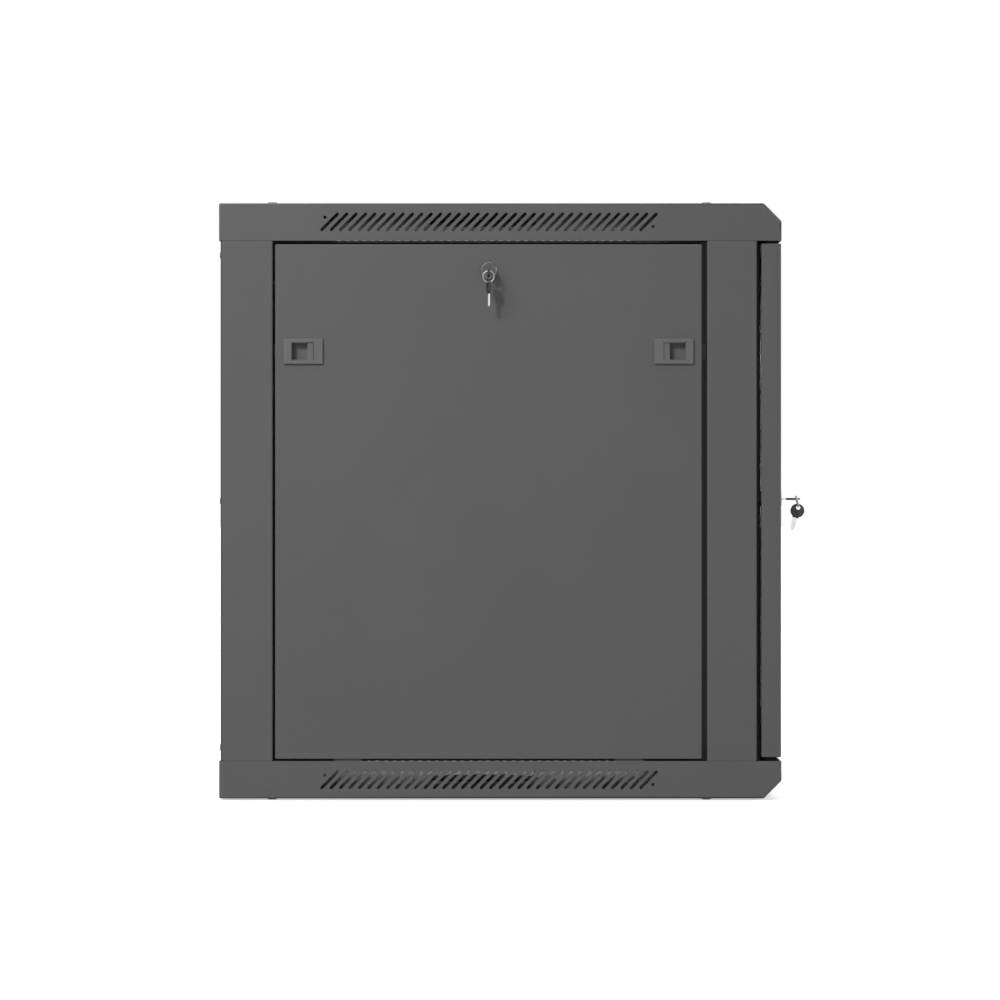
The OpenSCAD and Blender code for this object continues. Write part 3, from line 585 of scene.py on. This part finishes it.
def side_keys(side, sign):
    low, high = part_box(f"side_key_{side}")
    radius = (high.z - low.z) / 2
    x = high.x - radius if sign > 0 else low.x + radius
    centre = Vector((x, (low.y + high.y) / 2, (low.z + high.z) / 2))
    # The head stands outside the cabinet and the blade points into it
    turn = Matrix.Rotation(sign * math.pi / 2, 4, "Y")
    reach = (centre.x - low.x) if sign > 0 else (high.x - centre.x)
    key_piece(f"side_key_{side}", Matrix.Translation(centre) @ turn, reach)
    hang = joint_at(f"{side}_ring_swing")
    ring = Matrix.Translation(hang - Vector((0, 0, RING_R))) @ Matrix.Rotation(math.pi / 2, 4, "Z")
    split_ring(f"side_ring_{side}", ring)
    hook = joint_at(f"{side}_spare_swing")
    turn = Matrix.Rotation(-sign * SPARE_TURN, 4, "Z")
    place = Matrix.Translation(hook) @ turn @ Matrix.Translation((0, 0, -HEAD_BELOW_HOOK))
    key_piece(f"side_spare_{side}", place, SPARE_LENGTH)


def door_keys():
    low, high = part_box("door_key")
    radius = (high.x - low.x) / 2
    centre = Vector(((low.x + high.x) / 2, low.y + radius, (low.z + high.z) / 2))
    turn = Matrix.Rotation(math.pi / 2, 4, "X")
    key_piece("door_key", Matrix.Translation(centre) @ turn, high.y - centre.y)
    hang = joint_at("door_ring_swing")
    hook = joint_at("door_spare_swing")
    tilt = Matrix.Rotation(-RING_TILT, 4, "X")
    drop = (hook - hang).length
    across = hook.x - hang.x
    down = math.sqrt(drop * drop - across * across)
    ring = Matrix.Translation(hang) @ tilt @ Matrix.Translation((across, 0, RING_R - down))
    split_ring("door_ring", ring)
    spare = (Matrix.Translation(hook) @ Matrix.Rotation(SPARE_TILT, 4, "X")
             @ Matrix.Translation((0, 0, -HEAD_BELOW_HOOK)) @ Matrix.Rotation(math.pi / 2, 4, "Z"))
    key_piece("door_spare", spare, SPARE_LENGTH)


# ---------- sheet metal and fittings ----------

def sheet_metal():
    bends = {"top_cover": 1.8, "bottom_cover": 1.8, "door_frame": 0.9}
    for side, _ in SIDES:
        bends[f"side_panel_{side}"] = 1.4
        bends[f"front_post_{side}"] = bends[f"rear_post_{side}"] = 1.6
    for node, radius in bends.items():
        refine(node, fold=radius * MM)


def fittings():
    for side, _ in SIDES:
        refine(f"latch_bezels_{side}", fold=0.7 * MM)
        refine(f"side_lock_{side}", rim=0.2 * MM)
        refine(f"side_core_{side}", rim=0.15 * MM, segments=2)
        refine(f"side_cam_{side}", rim=0.25 * MM, segments=2)
        for end in ("front", "rear"):
            refine(f"latch_{side}_{end}", rim=0.35 * MM)
    for node in ("door_lock", "door_core", "door_cam", "hinge_pins", "glass_clips", "cage_nuts",
                 "rail_bolts", "depth_rail_screws", "cable_plate_nuts", "bracket_screws", "clip_screws"):
        refine(node, rim=0.2 * MM, segments=2)
    refine("glass_seal", rim=0.4 * MM)
    refine("door_glass", rim=0.5 * MM, segments=2)
    screws("cover_screws", 5.3 * MM, COVER_HEAD_H, 3 * MM, 12 * MM, along_z, 0.7 * MM)
    screws("rear_panel_screws", 3.5 * MM, REAR_HEAD_H, 2 * MM, 8 * MM, to_rear, 0.45 * MM)


def fan_shade_mats():
    """Dark foam mat behind each fan opening of the two covers, clear of the fan's screw holes: a dark sheet that
    paints shade into the openings so they show dark instead of lit.
    """
    radius, thick, edge, back_edge = 61 * MM, 2.0 * MM, 0.6 * MM, 0.3 * MM
    openings = [m for m in frame["record"]["mounts"] if m["name"].startswith("fan_holes")]
    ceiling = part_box("top_cover")[1].z - SHEET - thick
    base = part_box("bottom_cover")[0].z + SHEET
    for mount in openings:
        for level, z in (("top", ceiling), ("bottom", base)):
            bm = bmesh.new()
            lathe(bm, [(0, 0), (radius - edge, 0), (radius, edge), (radius, thick - back_edge),
                       (radius - back_edge, thick), (0, thick)], 64)
            bmesh.ops.translate(bm, verts=bm.verts, vec=(mount["pos_m"][0], mount["pos_m"][1], z))
            name = mount["name"].replace("fan_holes", f"filter_{level}")
            mat = mesh_piece(name, bm, [LOOKS["seal_rubber"]])
            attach(mat, BODY_OF["top_cover"])


def gap_shade_strips():
    """Dark foam strip on the face of each front post, which the closed door's back lip nearly touches: a dark
    strip that paints shade into the door gap.
    """
    low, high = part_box("front_post_left")
    top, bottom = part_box("side_panel_left")[1].z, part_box("side_panel_left")[0].z
    face_y = low.y
    thick, wide, lock_side_in, hinge_side_in = 3.6 * MM, 6 * MM, 9 * MM, 33 * MM
    outer = low.x
    for side, x in (("left", outer + lock_side_in), ("right", -outer - hinge_side_in)):
        bm = bmesh.new()
        crown = [(x, face_y), (x + wide, face_y)]
        crown += [(x + wide / 2 + wide / 2 * math.cos(a), face_y - thick * (0.55 + 0.45 * math.sin(a)))
                  for a in [math.radians(d) for d in range(0, 181, 20)]]
        slab(bm, crown, bottom, top)
        strip = mesh_piece(f"gap_shade_strip_{side}", bm, [LOOKS["seal_rubber"]])
        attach(strip, BODY_OF["front_post_left"])


def finish_kept_nodes():
    """Gives every CAD node its slot's material; the ones without a piece are seen with it."""
    for node, made in frame["nodes"].items():
        made.data.materials.clear()
        made.data.materials.append(LOOKS[SLOT_OF[node]])


# ---------- studio ----------

def camera():
    """Long lens at the middle height of the cabinet's left side, looking along +X."""
    low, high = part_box("top_cover")
    base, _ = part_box("bottom_cover")
    shown_width, lens, sensor = 1.0663, 200.0, 36.0
    data = bpy.data.cameras.new("camera")
    data.lens = lens
    data.sensor_width = sensor
    data.clip_end = 200
    made = link_object("camera", data)
    distance = shown_width * lens / sensor
    nudge_y, nudge_z = 0.32 * MM, 0.9 * MM
    made.location = (low.x - distance, (low.y + high.y) / 2 + nudge_y, (base.z + high.z) / 2 + nudge_z)
    made.rotation_euler = (math.pi / 2, 0, -math.pi / 2)
    bpy.context.scene.camera = made


def sun(name, towards, strength, angle):
    data = bpy.data.lights.new(name, "SUN")
    data.energy = strength
    data.angle = math.radians(angle)
    made = link_object(name, data)
    made.rotation_euler = (-Vector(towards)).to_track_quat("-Z", "Y").to_euler()


def softbox(name, at, aim, size, power):
    data = bpy.data.lights.new(name, "AREA")
    data.energy = power
    data.size = size
    made = link_object(name, data)
    made.location = at
    made.rotation_euler = (Vector(aim) - Vector(at)).to_track_quat("-Z", "Y").to_euler()


def surroundings(scene):
    """White all round, but only about a quarter of it as soft light on the object."""
    world = bpy.data.worlds.new("studio")
    world.use_nodes = True
    scene.world = world
    nodes, links = world.node_tree.nodes, world.node_tree.links
    backdrop = nodes["Background"]
    backdrop.inputs["Color"].default_value = (1, 1, 1, 1)
    path = nodes.new("ShaderNodeLightPath")
    level = nodes.new("ShaderNodeMapRange")
    seen, lighting = 1.0, 0.26
    level.inputs["To Min"].default_value = seen
    level.inputs["To Max"].default_value = lighting
    links.new(path.outputs["Is Diffuse Ray"], level.inputs["Value"])
    links.new(level.outputs["Result"], backdrop.inputs["Strength"])


def floor():
    bm = bmesh.new()
    half_side = 60
    bmesh.ops.create_grid(bm, x_segments=4, y_segments=4, size=half_side)
    m = Nodes("floor")
    m.colours(m.noise(3, 3), [(0.3, grey(0.56)), (0.7, grey(0.60))])
    m.rough(m.noise(30), 0.8, 0.9)
    m.set(Specular_IOR_Level=0.1, Emission_Color=(1, 1, 1, 1), Emission_Strength=0.55)
    made = mesh_piece("floor", bm, [m.material])
    made.location.z = cad_box[0].z
    made.visible_diffuse = False


def studio():
    scene = bpy.context.scene
    scene.view_settings.view_transform = "Standard"
    surroundings(scene)
    floor()
    sun("key", (-1, 0.58, 0.66), 1.65, 7)
    sun("top", (0, 0, 1), 2.0, 60)
    sun("front_fill", (0.12, -1, 0.3), 1.5, 40)
    sun("right_fill", (1, 0.1, 0.35), 1.3, 40)
    low, high = cad_box
    middle = (low + high) / 2
    softbox("window", middle + Vector((-1.5, 1.1, 1.1)), middle, 0.9, 20)


camera()
studio()
sheet_metal()
fittings()
for side, sign in SIDES:
    side_keys(side, sign)
door_keys()
# Dark foam mats behind the fan openings, as painted shade in the vents
fan_shade_mats()
# Dark foam strips on the front posts, as painted shade in the door gap
gap_shade_strips()
finish_kept_nodes()
